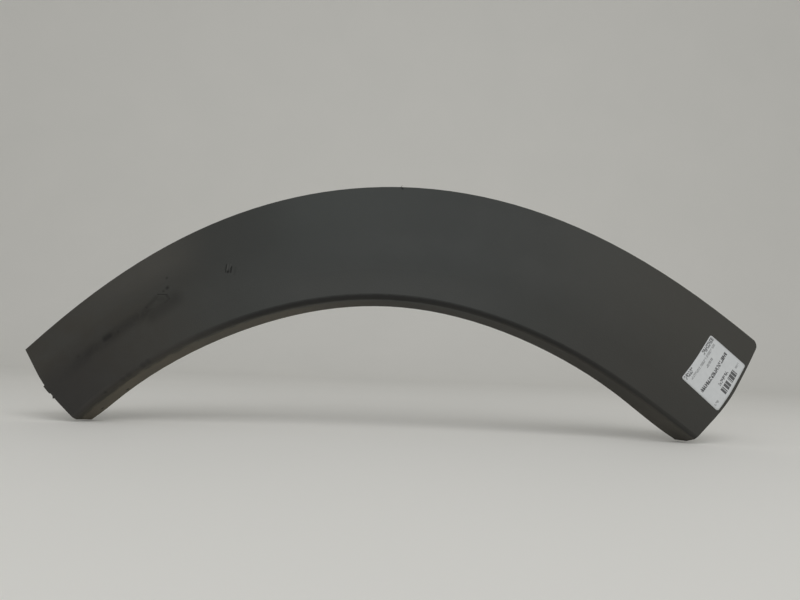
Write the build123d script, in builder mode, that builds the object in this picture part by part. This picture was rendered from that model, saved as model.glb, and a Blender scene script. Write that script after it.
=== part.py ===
"""Wheel arch trim: one injection-moulded plastic strip that edges the wheel opening of a car.

The strip is an arch of about a quarter turn round the wheel's axle. Seen in section it has a sloping upper
face, a soft ridge, a steep lower face, a rolled lip and a return flange that runs back under the body's edge.
X runs along the car, +Z is up and the outer side looks along -Y. The body's side is the plane Y = 0, and the
origin lies on it, midway between the two fixing holes nearest the crown.
"""

import os
from math import cos, pi, prod, radians, sin

from build123d import *

# Arch round the axle, in millimetres and degrees from the top, with the face's width at even stations
LIP_RADIUS = 403.2
FACE_WIDTHS = (103.3, 112.8, 126.3, 128.8, 139.8)

# The lip isn't quite a circle: its radius grows at the crown and the feet and shrinks between them
LIP_SWAY = 1.3
SWAY_ANGLE = 48.0

# Near the right foot the lip lifts off its circle and runs up the face, and the flange slopes to meet it
LIFT_ANGLE = 40.0
LIP_LIFT = 13.0

# Ends: each is cut at an angle, with a rake towards the crown, and the right flange stops a little short
LEFT_END_ANGLE = -46.9
RIGHT_END_ANGLE = 47.77
LEFT_RAKE_ANGLE = -2.5
RIGHT_RAKE_ANGLE = 6.5
RIGHT_BULGE = 2.3
RIGHT_FOOT_ANGLE = 46.95

# Section, from the body's side outwards
WALL = 3.0
FLARE = 40.5
FLANGE_GAP = 6.0
FLANGE_DROP = 4.5
LIP_INSIDE_RADIUS = 2.5
RIDGE_SHARE = 0.43
RIDGE_SETBACK = 2.5
RIDGE_RADIUS = 110.0

# Bevelled top edge, rounded top corner of the right end, and the sweep that narrows the flange at each foot
EDGE_BEVEL = 0.9
TOP_CORNER = 9.0
LEFT_SWEEP = (25.0, 6.0)
RIGHT_SWEEP = (55.0, 11.0)

# Wear on the left end: burrs, each with its two rises above the lip and its height at both
LEFT_BURRS = ((39.0, 49.5, 1.0, 1.5), (32.3, 34.7, 1.5, 0.0))

# Wear at the crown: a sliver torn up from the top edge and the nick that it left
NICK_ANGLE = 1.4
NICK_LENGTH = 2.6
NICK_WIDTH = 1.0
NICK_DEPTH = 1.0
SLIVER_HEIGHT = 2.0

# Wear on the ridge: a gouge of three strokes, each a wedge with its point, its end and the end's width
GOUGE_ANGLE = -20.0
GOUGE_RISE = 56.0
GOUGE_STROKES = (
    ((-3.0, 5.2), (-2.6, -4.2), 1.0),
    ((0.3, -1.8), (0.3, -5.2), 3.2),
    ((2.5, 3.0), (3.0, -4.0), 2.0),
)
GOUGE_DEPTH = 0.5

# Clip towers on the back, in pairs either side of the crown
FIXING_RISE = 72.8
FIXING_ANGLES = (9.0, 26.0, 41.0)
FIXING_HOLE_RADIUS = 3.5
TOWER_DEPTH = 18.0
TOWER_LENGTH = 24.0
TOWER_WALL = 2.0
TOWER_FLOOR = 2.5

# Gussets between the lower face and the flange, in pairs
GUSSET_ANGLES = (17.5, 33.5)
GUSSET_REACH = 26.0
GUSSET_THICKNESS = 2.0

# Loft: how far it runs past the ends before they are cut, in degrees, and its sections
OVERRUN_ANGLE = 4.0
SECTIONS = 11

FIXING_RADIUS = LIP_RADIUS + FIXING_RISE
AXLE = Vector(0, 0, -FIXING_RADIUS * cos(radians(FIXING_ANGLES[0])))


def radial_plane(angle):
    """Section plane through the axle: local x is the radius, local y points out of the car."""
    turn = radians(angle)
    return Plane(origin=AXLE, x_dir=(sin(turn), 0, cos(turn)), z_dir=(cos(turn), 0, -sin(turn)))


def side_plane(origin):
    """Plane along the body's side: local x runs along the car, local y is up, its normal points outwards."""
    return Plane(origin=origin, x_dir=(1, 0, 0), z_dir=(0, -1, 0))


def face_width(angle):
    """Radial width of the face, on the smooth curve through the widths at the stations."""
    step = (RIGHT_END_ANGLE - LEFT_END_ANGLE) / (len(FACE_WIDTHS) - 1)
    stations = [LEFT_END_ANGLE + step * i for i in range(len(FACE_WIDTHS))]
    width = 0
    for here, value in zip(stations, FACE_WIDTHS):
        width += value * prod((angle - other) / (here - other) for other in stations if other != here)
    return width


def lip_radius(angle):
    """Radius of the lip, which sways in and out about its circle."""
    return LIP_RADIUS + LIP_SWAY * cos(2 * pi * angle / SWAY_ANGLE)


def section_corners(angle):
    """Outer corners of the section: top edge, ridge, lip and the flange's rear edge."""
    width = face_width(angle)
    top = (LIP_RADIUS + width, WALL)
    ridge = (LIP_RADIUS + width * RIDGE_SHARE, FLARE - RIDGE_SETBACK)
    lift = LIP_LIFT * max(0, angle - LIFT_ANGLE) / (RIGHT_END_ANGLE - LIFT_ANGLE)
    lip = (lip_radius(angle) + lift, FLARE)
    rear = (lip_radius(angle) - FLANGE_DROP, FLANGE_GAP)
    return top, ridge, lip, rear


def upper_face_height(angle, radius):
    """Height of the middle of the upper face's wall above the body's side."""
    top, ridge = section_corners(angle)[:2]
    share = (radius - ridge[0]) / (top[0] - ridge[0])
    return ridge[1] + share * (top[1] - ridge[1]) - WALL / 2


def end_point(angle, rake, rise, proud=0):
    """Point on an end's cut, which leans to the crown by its rake: rise over the lip, proud of the cut."""
    turn = radians(angle)
    side = 1 if angle > 0 else -1
    lean = turn - side * radians(rake)
    x = LIP_RADIUS * sin(turn) + rise * sin(lean) + side * proud * cos(lean)
    z = LIP_RADIUS * cos(turn) + rise * cos(lean) - side * proud * sin(lean)
    return x, z


# Clip towers: boxes open at one end, with a hole in the floor that bears on the body's side
with BuildPart() as towers:
    for angle in [side * angle for angle in FIXING_ANGLES for side in (-1, 1)]:
        tower_plane = radial_plane(angle)
        near = FIXING_RADIUS - TOWER_DEPTH / 2
        far = FIXING_RADIUS + TOWER_DEPTH / 2
        with BuildSketch(tower_plane):
            with BuildLine():
                near_top = (near, upper_face_height(angle, near))
                far_top = (far, upper_face_height(angle, far))
                Polyline((near, 0), (far, 0), far_top, near_top, close=True)
            make_face()
        extrude(amount=TOWER_LENGTH / 2, both=True)
        with BuildSketch(tower_plane.offset(TOWER_WALL - TOWER_LENGTH / 2)):
            with Locations((FIXING_RADIUS, TOWER_FLOOR)):
                Rectangle(TOWER_DEPTH - 2 * TOWER_WALL, FLARE, align=(Align.CENTER, Align.MIN))
        extrude(amount=TOWER_LENGTH, mode=Mode.SUBTRACT)
        with BuildSketch(side_plane(tower_plane.from_local_coords((FIXING_RADIUS, 0, 0)))):
            Circle(FIXING_HOLE_RADIUS)
        extrude(amount=TOWER_FLOOR, mode=Mode.SUBTRACT)

# Gussets: thin triangles in the corner of the lower face and the flange
with BuildPart() as gussets:
    for angle in [side * angle for angle in GUSSET_ANGLES for side in (-1, 1)]:
        with BuildSketch(radial_plane(angle)):
            with BuildLine():
                corner = Vector(lip_radius(angle) + WALL / 2, FLARE - WALL / 2)
                Polyline(corner, corner + (GUSSET_REACH, 0), corner - (0, GUSSET_REACH), close=True)
            make_face()
        extrude(amount=GUSSET_THICKNESS / 2, both=True)

# Moulding: the section lofted round the axle and cut off at both ends, with its towers and gussets
with BuildPart() as arch_moulding:
    first = LEFT_END_ANGLE - OVERRUN_ANGLE
    spacing = (RIGHT_END_ANGLE + OVERRUN_ANGLE - first) / (SECTIONS - 1)
    for station in range(SECTIONS):
        angle = first + spacing * station
        with BuildSketch(radial_plane(angle)):
            with BuildLine():
                FilletPolyline(*section_corners(angle), radius=(RIDGE_RADIUS, LIP_INSIDE_RADIUS + WALL))
                offset(amount=WALL, side=Side.LEFT)
            make_face()
    loft()
    top_edge = arch_moulding.faces().sort_by(Axis.Z)[-1].edges().sort_by(Axis.Y)[0]
    chamfer(top_edge, EDGE_BEVEL)

    half_width = FACE_WIDTHS[-1] / 2
    with BuildSketch(side_plane(AXLE)):
        with BuildLine():
            right_low = end_point(RIGHT_END_ANGLE, RIGHT_RAKE_ANGLE, -half_width, -3 * RIGHT_BULGE)
            right_middle = end_point(RIGHT_END_ANGLE, RIGHT_RAKE_ANGLE, half_width, RIGHT_BULGE)
            right_high = end_point(RIGHT_END_ANGLE, RIGHT_RAKE_ANGLE, 3 * half_width, -3 * RIGHT_BULGE)
            left_low = end_point(LEFT_END_ANGLE, LEFT_RAKE_ANGLE, -half_width)
            left_high = end_point(LEFT_END_ANGLE, LEFT_RAKE_ANGLE, 3 * half_width)
            ThreePointArc(right_low, right_middle, right_high)
            Polyline(right_high, (0, 2 * LIP_RADIUS), left_high, left_low, right_low)
        make_face()
        for low, high, low_height, high_height in LEFT_BURRS:
            with BuildLine():
                Polyline(
                    end_point(LEFT_END_ANGLE, LEFT_RAKE_ANGLE, low, -WALL),
                    end_point(LEFT_END_ANGLE, LEFT_RAKE_ANGLE, low, low_height),
                    end_point(LEFT_END_ANGLE, LEFT_RAKE_ANGLE, high, high_height),
                    end_point(LEFT_END_ANGLE, LEFT_RAKE_ANGLE, high, -WALL),
                    close=True,
                )
            make_face()
        with BuildLine():
            foot = end_point(RIGHT_FOOT_ANGLE, 0, 0)
            Polyline(foot, (2 * LIP_RADIUS, foot[1]), (2 * LIP_RADIUS, 0), (0, 0), close=True)
        make_face(mode=Mode.SUBTRACT)
    extrude(amount=2 * FLARE, both=True, mode=Mode.INTERSECT)

    top_corner = arch_moulding.faces().sort_by(Axis.X)[-1].edges().sort_by(Axis.Y)[-1]
    fillet(top_corner, TOP_CORNER)
    sweeps = ((-1, LEFT_END_ANGLE, LEFT_SWEEP), (1, RIGHT_FOOT_ANGLE, RIGHT_SWEEP))
    for side, angle, (length, depth) in sweeps:
        end_plane = radial_plane(angle)
        rear = end_plane.from_local_coords((lip_radius(angle) - FLANGE_DROP, FLANGE_GAP, 0))
        with BuildSketch(Plane(origin=rear, x_dir=-side * end_plane.z_dir, z_dir=side * end_plane.x_dir)):
            with BuildLine():
                TangentArc((length, 0), (0, depth), tangent=(-1, 0))
                Polyline((0, depth), (-WALL, depth), (-WALL, -WALL), (length, -WALL), (length, 0))
            make_face()
        extrude(amount=5 * WALL, both=True, mode=Mode.SUBTRACT)

    crown_edge = radial_plane(NICK_ANGLE).from_local_coords((LIP_RADIUS + face_width(NICK_ANGLE), 0, 0))
    with BuildSketch(side_plane(crown_edge).offset(WALL - NICK_DEPTH)):
        with BuildLine():
            Polyline((0, 0), (NICK_LENGTH, -NICK_LENGTH), (NICK_WIDTH, 0), close=True)
        make_face()
    extrude(amount=2 * WALL, mode=Mode.SUBTRACT)
    with BuildSketch(side_plane(crown_edge)):
        with BuildLine():
            Polyline((-NICK_WIDTH, -WALL), (SLIVER_HEIGHT, SLIVER_HEIGHT), (0, -WALL), close=True)
        make_face()
    extrude(amount=WALL / 2)

    gouge_spot = radial_plane(GOUGE_ANGLE).from_local_coords((LIP_RADIUS + GOUGE_RISE, 2 * FLARE, 0))
    inwards = Axis(gouge_spot, (0, 1, 0))
    surface_point, surface_normal = arch_moulding.part.find_intersection_points(inwards)[0]
    with BuildSketch(Plane(origin=surface_point, x_dir=(1, 0, 0), z_dir=surface_normal)):
        for point, end, width in GOUGE_STROKES:
            half_end = Vector(width / 2, 0)
            with BuildLine():
                Polyline(point, Vector(end) - half_end, Vector(end) + half_end, close=True)
            make_face()
    extrude(amount=-GOUGE_DEPTH, mode=Mode.SUBTRACT)

    add(towers.part)
    add(gussets.part)

arch_moulding.part.label = "arch_moulding"

os.makedirs("parts", exist_ok=True)
export_step(arch_moulding.part, "parts/arch_moulding.step")
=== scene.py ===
import math

import bpy
from mathutils import Matrix, Vector
from mathutils.bvhtree import BVHTree


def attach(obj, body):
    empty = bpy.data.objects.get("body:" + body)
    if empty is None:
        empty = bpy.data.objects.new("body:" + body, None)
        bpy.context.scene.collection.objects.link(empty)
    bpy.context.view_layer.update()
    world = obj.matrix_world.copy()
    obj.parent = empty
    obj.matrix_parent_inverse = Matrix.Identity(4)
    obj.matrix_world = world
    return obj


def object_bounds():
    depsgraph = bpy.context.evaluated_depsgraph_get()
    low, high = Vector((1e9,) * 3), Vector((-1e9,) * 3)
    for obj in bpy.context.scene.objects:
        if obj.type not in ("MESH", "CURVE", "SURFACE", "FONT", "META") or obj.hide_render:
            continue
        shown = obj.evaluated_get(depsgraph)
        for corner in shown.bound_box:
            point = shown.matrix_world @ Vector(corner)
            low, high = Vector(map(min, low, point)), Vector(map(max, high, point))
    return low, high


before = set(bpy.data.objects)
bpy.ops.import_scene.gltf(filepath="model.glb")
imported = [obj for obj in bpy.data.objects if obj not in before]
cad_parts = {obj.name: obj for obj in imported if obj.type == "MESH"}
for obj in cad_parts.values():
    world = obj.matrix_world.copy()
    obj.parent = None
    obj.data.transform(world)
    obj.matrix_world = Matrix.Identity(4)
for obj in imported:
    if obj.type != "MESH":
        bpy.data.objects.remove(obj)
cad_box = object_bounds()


# Moulding: the trim itself, one injection-moulded strip of unpainted dark grey plastic.
# Its fine spark-eroded grain comes from the mould. Years on a car have left a dusty underside, a greasy smear
# along the ridge near the left end and a few scuffs.
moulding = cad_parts["arch_moulding"]


class Finish:
    """The look of one material, put together from shader nodes."""

    def __init__(self, name):
        self.material = bpy.data.materials.new(name)
        self.material.use_nodes = True
        self.tree = self.material.node_tree
        self.tree.nodes.clear()

    def put(self, kind, inputs=None, **settings):
        """Adds a node. Each input is a plain value or another node's output."""
        node = self.tree.nodes.new("ShaderNode" + kind)
        for name, value in settings.items():
            setattr(node, name, value)
        for key, value in (inputs or {}).items():
            if isinstance(value, bpy.types.NodeSocket):
                self.tree.links.new(value, node.inputs[key])
            else:
                node.inputs[key].default_value = value
        return node

    def calc(self, operation, *values, clamp=False):
        """Result of one sum on numbers or outputs."""
        inputs = dict(enumerate(values))
        return self.put("Math", inputs, operation=operation, use_clamp=clamp).outputs[0]

    def times(self, product, *others):
        """Product of two or more numbers or outputs."""
        for other in others:
            product = self.calc("MULTIPLY", product, other)
        return product

    def calc_place(self, operation, inputs, result="Vector"):
        """Result of one sum on places or colours: three numbers, or one number as the result Value."""
        return self.put("VectorMath", inputs, operation=operation).outputs[result]

    def fade(self, value, start, end, low=0.0, high=1.0):
        """Smooth step of a value, from low at start to high at end."""
        inputs = {"Value": value, "From Min": start, "From Max": end, "To Min": low, "To Max": high}
        return self.put("MapRange", inputs, interpolation_type="SMOOTHSTEP").outputs[0]

    def blend(self, share, first, second):
        """Colour between two, by a share from 0 to 1."""
        return self.put("Mix", {0: share, 6: first, 7: second}, data_type="RGBA").outputs[2]

    def clouding(self, place, scale, detail, roughness=0.5):
        """Soft random clouding from 0 to 1, with so many clouds to the metre."""
        inputs = {"Vector": place, "Scale": scale, "Detail": detail, "Roughness": roughness}
        return self.put("TexNoise", inputs).outputs[0]

    def cover(self, mesh, inputs):
        """Completes the look with its shader and lays it on a mesh."""
        shader = self.put("BsdfPrincipled", inputs)
        self.put("OutputMaterial", {"Surface": shader.outputs[0]})
        mesh.materials.clear()
        mesh.materials.append(self.material)


# A point's place on the arch: its angle from the crown, left below zero, its radius, and how far its surface
# looks away from the axle. The crown fixings give the axle's height.
FIXING_RADIUS = 0.476
FIXING_ANGLE = 9.0
AXLE_DROP = FIXING_RADIUS * math.cos(math.radians(FIXING_ANGLE))
plastic = Finish("textured_plastic")
place = plastic.put("TexCoord").outputs["Object"]
x, y, z = plastic.put("SeparateXYZ", {0: place}).outputs
look_x, look_y, look_z = plastic.put("SeparateXYZ", {0: plastic.put("NewGeometry").outputs["Normal"]}).outputs
height = plastic.calc("ADD", z, AXLE_DROP)
radius = plastic.calc("SQRT", plastic.calc("ADD", plastic.times(x, x), plastic.times(height, height)))
angle = plastic.calc("ARCTAN2", x, height)
degrees = plastic.calc("DEGREES", angle)
from_crown = plastic.calc("ABSOLUTE", degrees)
along_radius = plastic.calc("ADD", plastic.times(x, look_x), plastic.times(height, look_z))
outward = plastic.calc("DIVIDE", along_radius, radius)
outer_side = plastic.fade(look_y, -0.25, -0.6)
underside = plastic.fade(outward, -0.60, -0.95)
lip_roll = plastic.times(plastic.fade(outward, 0.05, -0.32), plastic.fade(look_y, -0.20, -0.50))
cloud = plastic.clouding(place, 9.0, 3.0, 0.55)
film = plastic.clouding(place, 38.0, 4.0, 0.6)
patchy = plastic.clouding(place, 75.0, 3.0, 0.6)
speckle = plastic.clouding(place, 420.0, 2.0)

# Bare plastic: cool grey at the crown, warmer towards both ends, with brown dust on the left.
CROWN_GREY = (0.0292, 0.0328, 0.0314, 1)
PALE_CROWN_GREY = (0.0308, 0.0342, 0.0327, 1)
END_GREY = (0.0325, 0.0318, 0.0275, 1)
BROWN_DUST = (0.0300, 0.0262, 0.0195, 1)
crown_grey = plastic.blend(plastic.fade(cloud, 0.35, 0.65), CROWN_GREY, PALE_CROWN_GREY)
colour = plastic.blend(plastic.fade(from_crown, 6, 40), crown_grey, END_GREY)
left_dust = plastic.times(plastic.fade(degrees, -20, -44), plastic.fade(film, 0.25, 0.7), 0.75)
colour = plastic.blend(left_dust, colour, BROWN_DUST)

# Pale haze high on the left and low under the crown, painted light on the upper face where light falls on it,
# and a darker tone low on the face towards the left foot. The painted light on the upper face is weakest a
# little right of the crown.
LEFT_HAZE = (0.0500, 0.0485, 0.0425, 1)
CROWN_HAZE = (0.0440, 0.0455, 0.0430, 1)
LEFT_FOOT_DARK_TONE = (0.0195, 0.0180, 0.0165, 1)
WEAKEST_PAINTED_LIGHT = 12.0
left_haze = plastic.times(plastic.fade(degrees, -45, -31), plastic.fade(degrees, -21, -28),
                          plastic.fade(radius, 0.458, 0.500), plastic.fade(film, 0.2, 0.7, 0.6, 1.0))
colour = plastic.blend(left_haze, colour, LEFT_HAZE)
crown_haze = plastic.times(plastic.fade(from_crown, 22, 8), plastic.fade(radius, 0.450, 0.415, 0.0, 0.6))
colour = plastic.blend(crown_haze, colour, CROWN_HAZE)
from_least = plastic.calc("ABSOLUTE", plastic.calc("SUBTRACT", degrees, WEAKEST_PAINTED_LIGHT))
upper_face_painted_light = plastic.times(plastic.fade(from_least, 3, 18), plastic.fade(degrees, -17, -9),
                         plastic.fade(radius, 0.425, 0.510, 0.0, 0.32))
colour = plastic.calc_place("SCALE", {0: colour, "Scale": plastic.calc("ADD", upper_face_painted_light, 1.0)})
# Darker tone low on the face towards the left foot.
left_foot_darkening = plastic.times(plastic.fade(degrees, -30, -46, 0.0, 0.8), plastic.fade(radius, 0.482, 0.440))
colour = plastic.blend(left_foot_darkening, colour, LEFT_FOOT_DARK_TONE)

# Painted shade in the roll of the lip, weaker at both feet, and road dust on the flange, thickest at the
# left.
# The dust's front edge is uneven and kept back from the lip to widen the painted shade; a few dark specks lie
# on it and on the roll.
LEFT_ROLL_SHADE = (0.0330, 0.0305, 0.0270, 1)
ROLL_SHADE = (0.0055, 0.0053, 0.0047, 1)
LEFT_ROAD_DUST = (0.098, 0.087, 0.066, 1)
LEFT_FOOT_ROAD_DUST = (0.128, 0.114, 0.086, 1)
RIGHT_ROAD_DUST = (0.0395, 0.0365, 0.0305, 1)
RIGHT_FOOT_ROAD_DUST = (0.068, 0.063, 0.053, 1)
SPECK_DIRT = (0.0120, 0.0115, 0.0105, 1)
roll_shade = plastic.blend(plastic.fade(degrees, -32, -16), LEFT_ROLL_SHADE, ROLL_SHADE)
roll_shade_cover = plastic.times(lip_roll, plastic.fade(degrees, 45, 24, 0.42, 0.88))
colour = plastic.blend(roll_shade_cover, colour, roll_shade)
left_road_dust = plastic.blend(plastic.fade(degrees, -26, -44), LEFT_ROAD_DUST, LEFT_FOOT_ROAD_DUST)
right_road_dust = plastic.blend(plastic.fade(degrees, 34, 46), RIGHT_ROAD_DUST, RIGHT_FOOT_ROAD_DUST)
road_dust = plastic.blend(plastic.fade(degrees, -22, 6), left_road_dust, right_road_dust)
# Towards the left the flange's front edge is kept bare of dust, so the roll's painted shade reaches onto the
# flange.
uneven_depth = plastic.calc("ADD", y, plastic.fade(patchy, 0.3, 0.7, 0.0025, -0.0025))
shaded_front_edge = plastic.times(plastic.fade(degrees, 30, 0), plastic.fade(uneven_depth, -0.0275, -0.0345), 0.8)
dusty = plastic.times(underside, plastic.fade(film, 0.15, 0.75, 0.6, 1.0),
                      plastic.calc("SUBTRACT", 1.0, shaded_front_edge))
colour = plastic.blend(dusty, colour, road_dust)
# Specks: the place and the reach in millimetres, and the depth of tone
MM = 0.001
SPECKS = (
    ((-280.7, -14.3, -185.1), 2.6, 0.85),
    ((-258.0, -11.9, -164.8), 2.6, 0.85),
    ((-228.5, -39.4, -135.5), 4.2, 0.50),
    ((-233.0, -39.3, -139.0), 4.2, 0.50),
    ((-246.5, -38.8, -149.3), 4.5, 0.35),
    ((-252.0, -38.7, -153.6), 4.0, 0.35),
    ((-268.2, -38.3, -167.0), 2.4, 0.50),
)
for spot, reach, depth in SPECKS:
    away = plastic.calc_place("DISTANCE", {0: place, 1: Vector(spot) * MM}, "Value")
    speck = plastic.fade(away, reach * MM, reach * MM / 3, 0.0, depth)
    colour = plastic.blend(speck, colour, SPECK_DIRT)

# Grease: a smear that follows the ridge, in a band that thins out at both ends, and the darker dabs, strokes
# and scuffs in and beside it. The gouge's grooves get dirt and painted shade, and two painted highlights lie
# in the gouge.
GREASE_AND_GOUGE_SHADE = (0.0060, 0.0058, 0.0055, 1)
GOUGE_HIGHLIGHT = (0.0560, 0.0580, 0.0550, 1)
RIDGE_RADIUS = 0.46225
RIDGE_SLOPE = 0.0215
SMEAR_HALF_WIDTH = 0.011
ridge = plastic.calc("MULTIPLY_ADD", angle, RIDGE_SLOPE, RIDGE_RADIUS)
off_ridge = plastic.calc("ABSOLUTE", plastic.calc("SUBTRACT", radius, ridge))
along_smear = plastic.times(plastic.fade(degrees, -46, -40), plastic.fade(degrees, -28.5, -31.5))
grease_and_gouge_shade = plastic.times(plastic.fade(off_ridge, SMEAR_HALF_WIDTH, 0.0, 0.0, 0.45), along_smear,
                       plastic.fade(patchy, 0.3, 0.62, 0.35, 1.0))
face_place = plastic.put("CombineXYZ", {0: x, 2: z}).outputs[0]


def stroke(start, end, half_width, depth):
    """Share of a soft-edged stroke along the face, between two places in millimetres along X and Z."""
    start, end = (Vector((across, 0, up)) * MM for across, up in (start, end))
    offset = plastic.calc_place("SUBTRACT", {0: face_place, 1: start})
    if start != end:
        step = end - start
        run = plastic.calc_place("DOT_PRODUCT", {0: offset, 1: step / step.length_squared}, "Value")
        nearest = plastic.calc_place("SCALE", {0: step, "Scale": plastic.calc("ADD", run, 0.0, clamp=True)})
        offset = plastic.calc_place("SUBTRACT", {0: offset, 1: nearest})
    away = plastic.calc_place("LENGTH", {0: offset}, "Value")
    return plastic.fade(away, half_width * MM, 0.0, 0.0, depth)


# Strokes: both ends and the half width in millimetres, and the depth of tone
STROKES = (
    ((-300.7, -133.4), (-300.7, -133.4), 5.0, 0.40),
    ((-287.7, -124.6), (-287.7, -124.6), 5.0, 0.45),
    ((-274.8, -114.5), (-270.2, -111.1), 7.0, 0.78),
    ((-269.4, -110.5), (-256.7, -103.2), 4.5, 0.38),
    ((-262.5, -107.0), (-262.5, -107.0), 4.5, 0.62),
    ((-236.6, -81.8), (-236.6, -81.8), 4.0, 0.55),
    ((-236.6, -81.8), (-227.9, -71.4), 5.0, 0.38),
    ((-229.0, -88.5), (-208.0, -72.5), 14.0, 0.34),
    ((-227.6, -67.9), (-217.3, -67.9), 1.1, 0.75),
    ((-226.5, -72.5), (-219.0, -73.5), 6.5, 0.28),
    ((-221.9, -50.1), (-221.9, -50.1), 2.6, 0.55),
    ((-221.5, -64.6), (-222.3, -64.3), 2.3, 0.40),
    ((-218.5, -60.9), (-218.5, -60.9), 3.4, 0.75),
    ((-217.3, -68.9), (-213.9, -72.4), 3.2, 0.50),
    ((-213.9, -72.4), (-217.9, -76.9), 3.2, 0.45),
    ((-217.9, -76.9), (-222.3, -78.9), 3.0, 0.38),
    # The gouge: dirt and painted shade in its grooves.
    ((-159.2, -35.3), (-159.2, -43.6), 1.0, 0.75),
    ((-156.7, -43.0), (-156.7, -43.4), 2.2, 0.85),
    ((-153.8, -37.9), (-153.8, -43.6), 1.4, 0.85),
    ((-149.6, -38.5), (-149.6, -45.0), 2.4, 0.18),
    ((12.6, 59.6), (15.6, 56.6), 1.5, 0.95),
)
for start, end, half_width, depth in STROKES:
    grease_and_gouge_shade = plastic.calc("MAXIMUM", grease_and_gouge_shade, stroke(start, end, half_width, depth))
grease_and_gouge_shade = plastic.times(grease_and_gouge_shade, outer_side)
colour = plastic.blend(grease_and_gouge_shade, colour, GREASE_AND_GOUGE_SHADE)
# Painted highlights on the gouge's raised edges.
gouge_highlights = plastic.calc("MAXIMUM", stroke((-157.9, -34.8), (-157.9, -41.4), 0.9, 0.8),
                       stroke((-154.9, -34.8), (-154.9, -38.4), 0.8, 0.7))
colour = plastic.blend(gouge_highlights, colour, GOUGE_HIGHLIGHT)

# Moulded grain, and a sheen that is duller under grease and dust.
GRAIN_CELLS = 850.0
GRAIN_DEPTH = 0.00025
grain = plastic.put("TexVoronoi", {"Vector": place, "Scale": GRAIN_CELLS}, feature="SMOOTH_F1").outputs[0]
relief = plastic.calc("ADD", plastic.times(grain, 0.6), plastic.times(speckle, 0.6))
grained = plastic.put("Bump", {"Height": relief, "Strength": 0.40, "Distance": GRAIN_DEPTH}).outputs[0]
dulled = plastic.calc("MAXIMUM", plastic.times(grease_and_gouge_shade, 0.35), plastic.times(underside, 0.2))
rough = plastic.calc("ADD", plastic.fade(film, 0.3, 0.7, 0.56, 0.60), dulled)
plastic.cover(moulding.data, {"Base Color": colour, "Roughness": rough, "Normal": grained,
                              "IOR": 1.49, "Specular IOR Level": 0.38})


# Label: a stock label of thin white coated paper with rounded corners, stuck by hand on the face near the
# right end. It lies flat on the plastic and follows the ridge. Its print is only plain blocks and bars.
LABEL_CORNERS = ((0.2941, -0.1333), (0.3338, -0.0891), (0.3678, -0.1189), (0.3286, -0.1643))
LABEL_WIDTH = 0.0635
LABEL_HEIGHT = 0.0460
LABEL_ROUND = 0.0022
LABEL_LIFT = 0.00012
PAPER_THICKNESS = 0.0001
CORNER_STEPS = 6
EDGE_STEPS = 16
RINGS = 14
surface = BVHTree.FromPolygons([vertex.co.copy() for vertex in moulding.data.vertices],
                               [tuple(face.vertices) for face in moulding.data.polygons])


def on_face(across, down):
    """Point just above the face, at a share of the label's width and height."""
    left, right, far_right, far_left = (Vector(corner) for corner in LABEL_CORNERS)
    spot = left.lerp(right, across).lerp(far_left.lerp(far_right, across), down)
    point, normal = surface.ray_cast(Vector((spot.x, -0.1, spot.y)), Vector((0, 1, 0)))[:2]
    return point + normal * LABEL_LIFT


def corner_arc(quarter):
    """Points of one rounded corner of the flat label, counted from the top right."""
    side, end = ((1, 1), (-1, 1), (-1, -1), (1, -1))[quarter]
    centre = Vector((side * (LABEL_WIDTH / 2 - LABEL_ROUND), end * (LABEL_HEIGHT / 2 - LABEL_ROUND)))
    turns = [math.radians(90 * (quarter + step / CORNER_STEPS)) for step in range(CORNER_STEPS + 1)]
    return [centre + LABEL_ROUND * Vector((math.cos(turn), math.sin(turn))) for turn in turns]


rim = []
for quarter in range(4):
    arc, next_arc = corner_arc(quarter), corner_arc((quarter + 1) % 4)
    rim += arc + [arc[-1].lerp(next_arc[0], step / EDGE_STEPS) for step in range(1, EDGE_STEPS)]
flat_label = [Vector((0, 0))] + [point * ring / RINGS for ring in range(1, RINGS + 1) for point in rim]
count = len(rim)
faces = [(0, 1 + (i + 1) % count, 1 + i) for i in range(count)]
for ring in range(RINGS - 1):
    inner, outer = 1 + ring * count, 1 + (ring + 1) * count
    faces += [(inner + i, inner + (i + 1) % count, outer + (i + 1) % count, outer + i) for i in range(count)]
shares = [(point.x / LABEL_WIDTH + 0.5, 0.5 - point.y / LABEL_HEIGHT) for point in flat_label]
label_mesh = bpy.data.meshes.new("stock_label")
label_mesh.from_pydata([on_face(*share) for share in shares], [], faces)
layout = label_mesh.uv_layers.new(name="layout")
for loop in label_mesh.loops:
    layout.data[loop.index].uv = shares[loop.vertex_index]
label_mesh.shade_smooth()
label = bpy.data.objects.new("stock_label", label_mesh)
bpy.context.scene.collection.objects.link(label)
thickness = label.modifiers.new("paper_thickness", "SOLIDIFY")
thickness.thickness = PAPER_THICKNESS
thickness.offset = 0

# Rows of print: start and end across, middle and height down, marks in a full width, lines high, tone.
# A row of one line is made of bars.
PRINT_ROWS = (
    (0.03, 0.26, 0.070, 0.095, 26, 3, 0.80),
    (0.60, 0.97, 0.070, 0.095, 26, 3, 0.75),
    (0.10, 0.90, 0.175, 0.055, 38, 2, 0.50),
    (0.45, 0.66, 0.290, 0.055, 38, 2, 0.55),
    (0.06, 0.92, 0.490, 0.080, 27, 3, 0.95),
    (0.36, 0.66, 0.712, 0.070, 28, 3, 0.85),
    (0.31, 0.76, 0.860, 0.145, 48, 1, 0.90),
    (0.04, 0.14, 0.880, 0.050, 38, 2, 0.55),
    (0.82, 0.95, 0.835, 0.045, 38, 2, 0.50),
)
BLOCKS_INKED = 0.72
BARS_INKED = 0.60
MARK_SHARE = 0.84
PAPER_WHITE = (0.53, 0.55, 0.56, 1)
PALE_PAPER_WHITE = (0.61, 0.625, 0.635, 1)
INK = (0.035, 0.035, 0.038, 1)
paper = Finish("label_paper")
across, down = paper.put("SeparateXYZ", {0: paper.put("UVMap", uv_map="layout").outputs[0]}).outputs[:2]
fibre = paper.clouding(paper.put("TexCoord").outputs["Object"], 260.0, 3.0)
ink = 0.0
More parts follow.
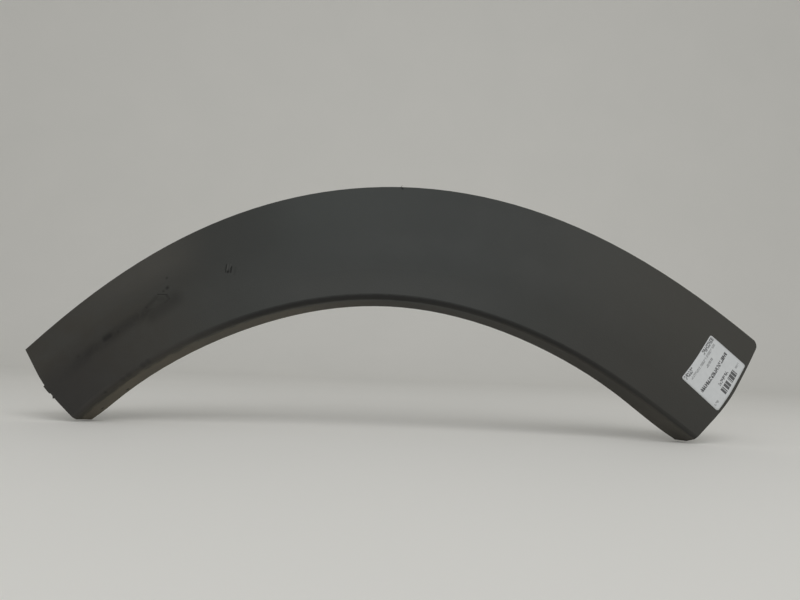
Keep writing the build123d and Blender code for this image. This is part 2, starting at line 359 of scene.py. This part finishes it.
for start, end, middle, tall, marks, lines, tone in PRINT_ROWS:
    along = paper.times(across, marks)
    column = paper.calc("FLOOR", paper.times(along, 2.0))
    line = paper.calc("FLOOR", paper.times(paper.calc("SUBTRACT", down, middle - tall / 2), lines / tall))
    cell = paper.put("CombineXYZ", {0: column, 1: line, 2: middle * 1000}).outputs[0]
    chance = paper.put("TexWhiteNoise", {"Vector": cell}).outputs[0]
    inked = paper.calc("LESS_THAN", chance, BLOCKS_INKED if lines > 1 else BARS_INKED)
    if lines > 1:
        inked = paper.times(inked, paper.calc("LESS_THAN", paper.calc("FRACT", along), MARK_SHARE))
    inside_width = paper.calc("COMPARE", across, (start + end) / 2, (end - start) / 2)
    inside_height = paper.calc("COMPARE", down, middle, tall / 2)
    ink = paper.calc("MAXIMUM", ink, paper.times(inked, inside_width, inside_height, tone))
white = paper.blend(fibre, PAPER_WHITE, PALE_PAPER_WHITE)
fibrous = paper.put("Bump", {"Height": fibre, "Strength": 0.15, "Distance": PAPER_THICKNESS}).outputs[0]
printed = paper.blend(ink, white, INK)
paper.cover(label_mesh, {"Base Color": printed, "Roughness": 0.55, "Normal": fibrous})
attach(label, "root")


# Floor and backdrop: one wide pale sheet, flat under the feet, that curves up a good way behind the trim and
# stands as a plain backdrop.
FLOOR_LEVEL = cad_box[0][2] - 0.0002
FLOOR_FRONT, FLOOR_BACK, FLOOR_SIDE = -6.0, 2.0, 7.0
SWEEP_RADIUS = 1.0
SWEEP_STEPS = 12
BACKDROP_HEIGHT = 6.0
FLOOR_WHITE = (0.85, 0.85, 0.825, 1)
PALE_FLOOR_WHITE = (0.89, 0.885, 0.86, 1)
profile = [(FLOOR_FRONT, 0.0), (FLOOR_BACK, 0.0)]
for step in range(1, SWEEP_STEPS + 1):
    turn = math.radians(90 * step / SWEEP_STEPS)
    profile.append((FLOOR_BACK + SWEEP_RADIUS * math.sin(turn), SWEEP_RADIUS * (1 - math.cos(turn))))
profile.append((FLOOR_BACK + SWEEP_RADIUS, BACKDROP_HEIGHT))
corners = [(side, depth, FLOOR_LEVEL + rise) for depth, rise in profile for side in (-FLOOR_SIDE, FLOOR_SIDE)]
sweep_mesh = bpy.data.meshes.new("floor_sweep")
sweep_mesh.from_pydata(corners, [], [(i, i + 1, i + 3, i + 2) for i in range(0, len(corners) - 2, 2)])
sweep_mesh.shade_smooth()
sweep = bpy.data.objects.new("floor_sweep", sweep_mesh)
bpy.context.scene.collection.objects.link(sweep)
pale = Finish("pale_floor")
shade = pale.clouding(pale.put("TexCoord").outputs["Object"], 3.0, 2.0)
pale.cover(sweep_mesh, {"Base Color": pale.blend(shade, FLOOR_WHITE, PALE_FLOOR_WHITE), "Roughness": 0.7})


# Studio light: a broad panel in front, a soft key above it to the right, and even light from all round.
# Both lamps aim at the middle of the trim.
LIGHT_AIM = Vector((0, 0, -0.05))
AMBIENT_COLOUR = (0.90, 0.89, 0.86, 1)
AMBIENT_STRENGTH = 0.46


def soft_light(name, spot, width, depth, power):
    """Rectangular lamp at a spot, turned to the trim."""
    lamp = bpy.data.lights.new(name, "AREA")
    lamp.shape = "RECTANGLE"
    lamp.size, lamp.size_y, lamp.energy = width, depth, power
    light = bpy.data.objects.new(name, lamp)
    light.location = spot
    light.rotation_euler = (LIGHT_AIM - Vector(spot)).to_track_quat("-Z", "Y").to_euler()
    light.visible_camera = False
    bpy.context.scene.collection.objects.link(light)


soft_light("front_panel", spot=(0.12, -2.2, 0.75), width=3.2, depth=1.6, power=15.0)
soft_light("key_light", spot=(0.5, -1.3, 1.7), width=1.6, depth=1.2, power=9.5)
world = bpy.data.worlds.new("studio")
world.use_nodes = True
ambient = world.node_tree.nodes["Background"]
ambient.inputs["Color"].default_value = AMBIENT_COLOUR
ambient.inputs["Strength"].default_value = AMBIENT_STRENGTH
bpy.context.scene.world = world
bpy.context.scene.view_settings.view_transform = "Standard"


# Camera: low in front of the arch, a little right of its middle and tilted a little up, with a wide lens.
# The three axes are the picture's right, its up and the way back from it to the viewer.
CAMERA_SPOT = (0.02337, -0.6498, -0.13034)
CAMERA_AXES = ((0.9994, 0.0068, 0.0343), (-0.0334, -0.1045, 0.9940), (0.0103, -0.9945, -0.1042))
lens = bpy.data.cameras.new("camera")
lens.sensor_width = 36.0
lens.lens = 27.9
lens.clip_start = 0.01
camera = bpy.data.objects.new("camera", lens)
camera.matrix_world = Matrix.Translation(CAMERA_SPOT) @ Matrix(CAMERA_AXES).transposed().to_4x4()
bpy.context.scene.collection.objects.link(camera)
bpy.context.scene.camera = camera
